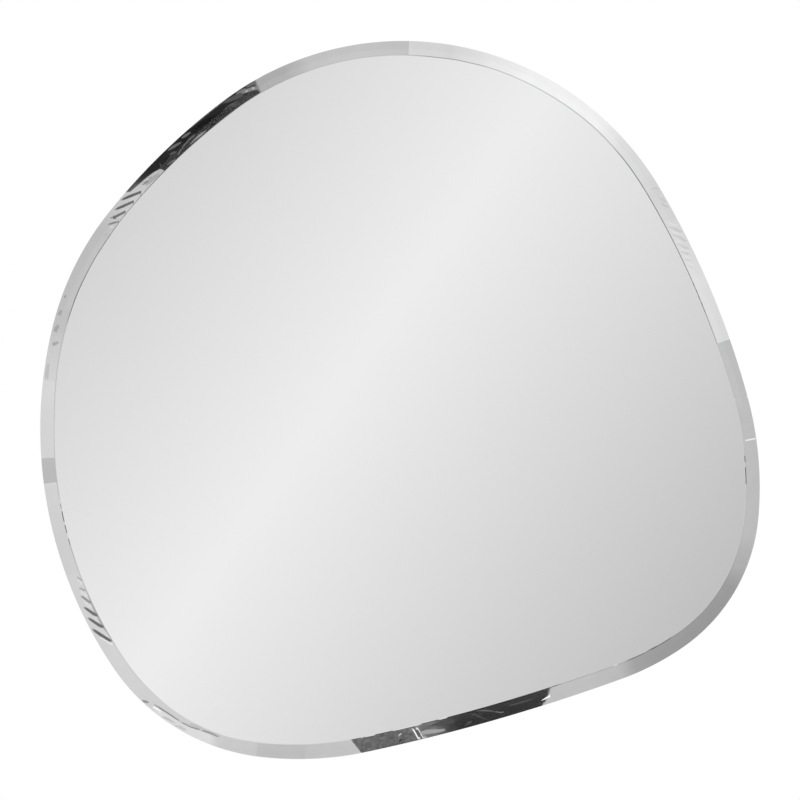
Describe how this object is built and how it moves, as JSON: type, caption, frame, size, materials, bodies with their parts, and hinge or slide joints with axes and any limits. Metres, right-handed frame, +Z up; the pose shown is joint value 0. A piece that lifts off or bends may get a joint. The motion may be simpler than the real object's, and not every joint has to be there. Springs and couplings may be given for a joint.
{
  "type": "irregular shaped wall mirror",
  "caption": "Frameless pebble-shaped wall mirror with a bevelled edge, bonded to a backing board and hung from two swinging rings.",
  "frame": {"origin": "on the wall plane, at the bumpers' rear faces, behind the middle of the pane's overall width and height", "axes": "+Z up, +Y into the wall, +X to the right as seen from the front, so the glass faces -Y"},
  "size_m": [0.6096, 0.0218, 0.6084],
  "materials": {
    "clear_glass": "polished clear float glass, faintly green at the edge",
    "silver_backing": "silvered on the glass side, grey protective paint behind",
    "safety_film": "thin translucent vinyl film",
    "mirror_adhesive": "cured mirror adhesive",
    "fibreboard": "raw medium density fibreboard",
    "foam_tape": "white closed-cell foam",
    "bumper_rubber": "matt black rubber",
    "zinc_sheet": "zinc plated sheet steel",
    "plated_wire": "bright plated steel wire",
    "screw_steel": "yellowish zinc plated steel"
  },
  "bodies": {
    "mirror": {"mirror_glass": "clear_glass", "silver_coating": "silver_backing", "safety_film": "safety_film", "adhesive_dabs": "mirror_adhesive", "backing_board": "fibreboard", "far_left_mounting_tape": "foam_tape", "left_mounting_tape": "foam_tape", "right_mounting_tape": "foam_tape", "far_right_mounting_tape": "foam_tape", "upper_left_bumper": "bumper_rubber", "upper_right_bumper": "bumper_rubber", "lower_left_bumper": "bumper_rubber", "lower_right_bumper": "bumper_rubber", "left_hanger_strap": "zinc_sheet", "right_hanger_strap": "zinc_sheet", "left_hanger_upper_screw": "screw_steel", "left_hanger_lower_screw": "screw_steel", "right_hanger_upper_screw": "screw_steel", "right_hanger_lower_screw": "screw_steel"},
    "left_ring": {"left_hanger_ring": "plated_wire"},
    "right_ring": {"right_hanger_ring": "plated_wire"}
  },
  "joints": [
    {"name": "left_ring_swing", "type": "hinge", "parent": "mirror", "child": "left_ring", "pos_m": [-0.15625, -0.00362, 0.128], "axis": [-1, 0, 0], "range_deg": [0, 178]},
    {"name": "right_ring_swing", "type": "hinge", "parent": "mirror", "child": "right_ring", "pos_m": [0.14375, -0.00362, 0.128], "axis": [-1, 0, 0], "range_deg": [0, 178]}
  ]
}
